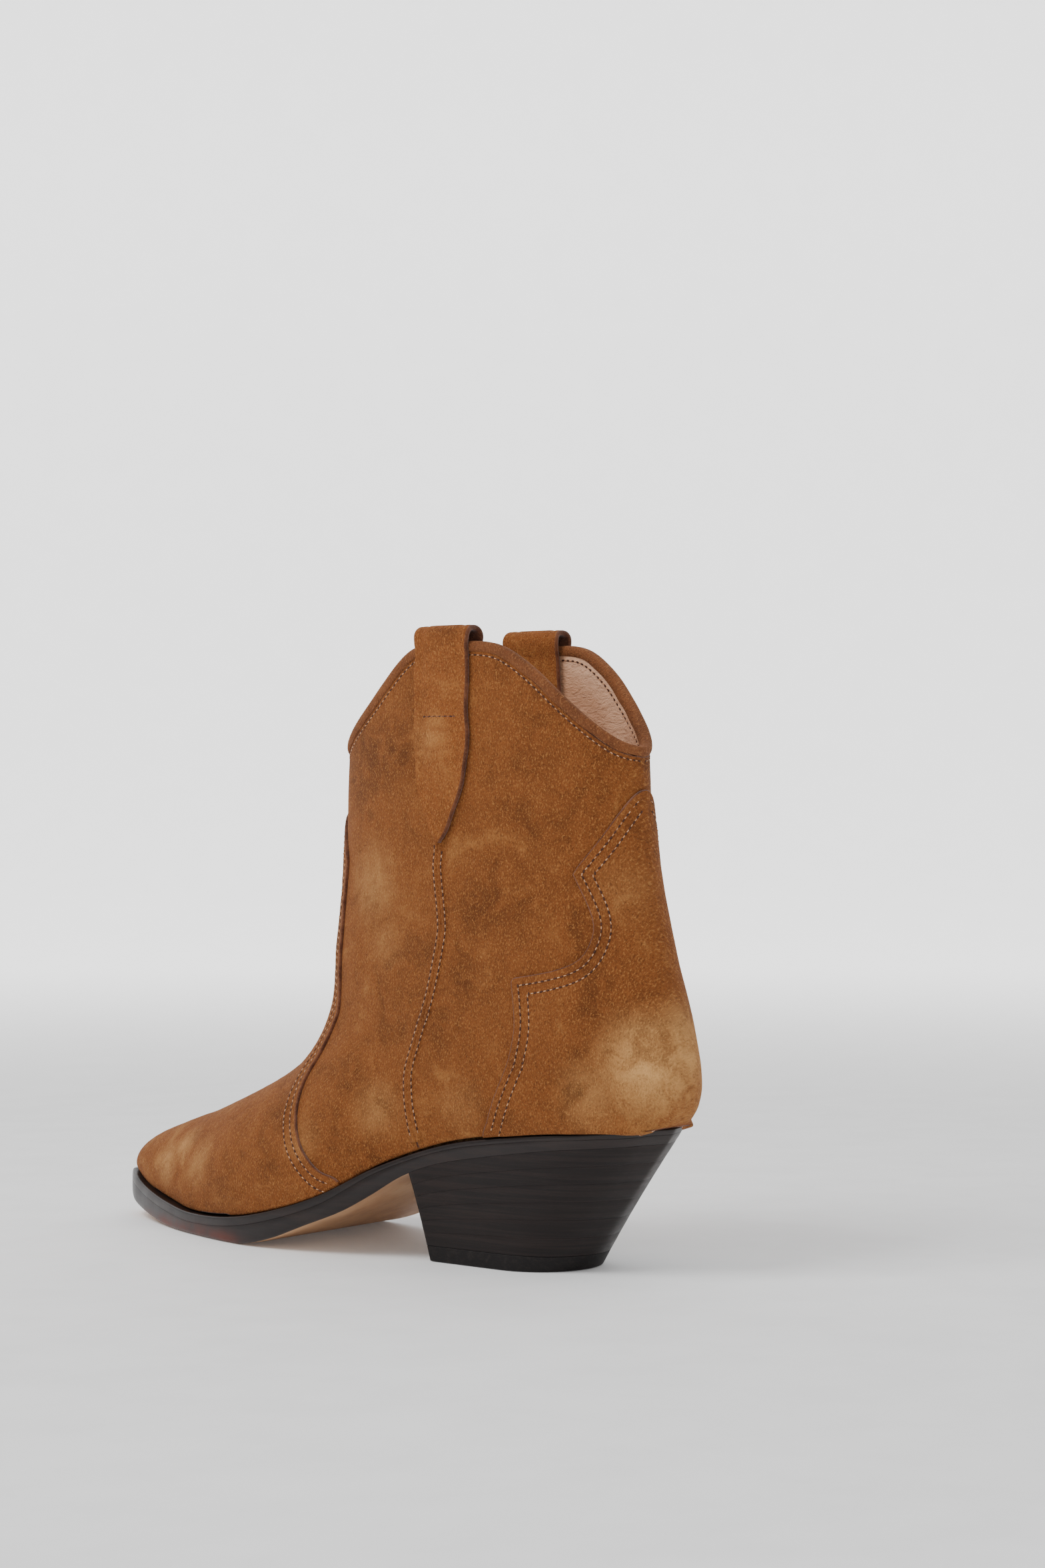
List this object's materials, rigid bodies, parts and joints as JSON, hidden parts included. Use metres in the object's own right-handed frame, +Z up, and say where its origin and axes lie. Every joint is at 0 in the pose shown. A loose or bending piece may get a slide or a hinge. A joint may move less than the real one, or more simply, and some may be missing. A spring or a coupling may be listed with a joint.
{
  "type": "western ankle boot",
  "caption": "Pull-on suede western ankle boot for the left foot, with a stacked slanted heel, pointed toe, dipped top line and two pull straps.",
  "frame": {"origin": "middle of the boot's outline on the floor it stands on", "axes": "+Z up the shaft, the toe points along -Y and the heel along +Y, +X is the outer side of the left foot"},
  "size_m": [0.0826, 0.2708, 0.2241],
  "materials": {
    "suede": "caramel suede with a short brushed nap",
    "binding": "folded suede edge",
    "lining": "smooth lining leather",
    "stiffener": "matt stiffened fibre",
    "board": "matt leather board",
    "cork": "pressed cork",
    "steel": "plain steel",
    "sole": "dark waxed edge with a natural leather underside",
    "heel": "dark burnished stacked leather",
    "rubber": "matt rubber"
  },
  "bodies": {
    "root": {"outsole": "sole", "midsole_welt": "sole", "heel_lift_1": "heel", "heel_lift_2": "heel", "heel_lift_3": "heel", "heel_lift_4": "heel", "heel_lift_5": "heel", "heel_lift_6": "heel", "top_piece": "rubber", "insole_board": "board", "bottom_filler": "cork", "shank": "steel", "sock_lining": "lining", "heel_nail_1": "steel", "heel_nail_2": "steel", "heel_nail_3": "steel", "heel_nail_4": "steel", "heel_screw": "steel", "vamp": "suede", "counter_overlay": "suede", "shaft_front": "suede", "shaft_back": "suede", "vamp_backer": "stiffener", "toe_puff": "stiffener", "heel_stiffener": "stiffener", "vamp_lining": "lining", "lining_front": "lining", "lining_back": "lining", "top_binding": "binding", "seam_strip_outer": "suede", "pull_strap_outer": "suede", "seam_strip_inner": "suede", "pull_strap_inner": "suede"}
  },
  "joints": []
}
